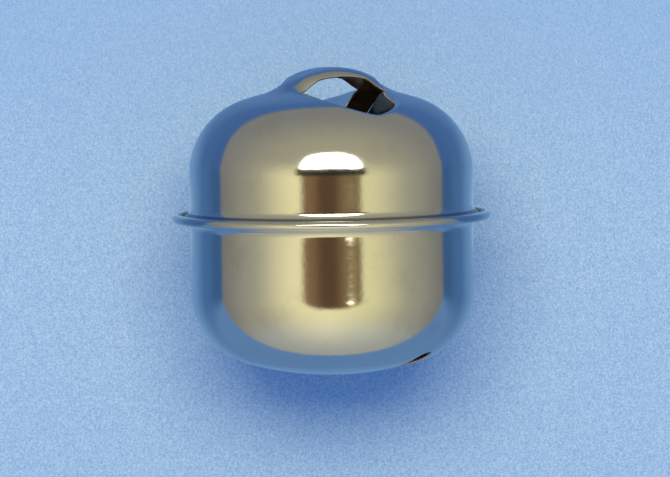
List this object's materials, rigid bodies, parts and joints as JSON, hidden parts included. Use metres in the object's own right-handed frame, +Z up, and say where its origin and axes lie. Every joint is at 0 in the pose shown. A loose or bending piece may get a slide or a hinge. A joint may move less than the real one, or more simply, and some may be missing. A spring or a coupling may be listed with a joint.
{
  "type": "christmas bell ornament",
  "caption": "Flanged round jingle bell pressed from polished sheet metal, with a lanced hanging loop, a sounding slit across its bottom and a loose pellet inside.",
  "frame": {"origin": "under the top of the hanging loop, on the bell's axis, where a hook or cord bears on it", "axes": "+Z up along the bell's axis through the hanging loop; X along the loop's strip; Y through the loop's opening"},
  "size_m": [0.034, 0.034, 0.0324],
  "materials": {
    "polished_shell": "bright polished nickel plate on pressed steel sheet",
    "pellet_steel": "plain tumbled steel ball"
  },
  "bodies": {
    "bell": {"upper_shell": "polished_shell", "lower_shell": "polished_shell"},
    "pellet": {"pellet": "pellet_steel"}
  },
  "joints": [
    {"name": "pellet_roll", "type": "hinge", "parent": "bell", "child": "pellet", "pos_m": [0, 0, -0.0173], "axis": [0, 1, 0], "range_deg": [-100, 100]}
  ]
}
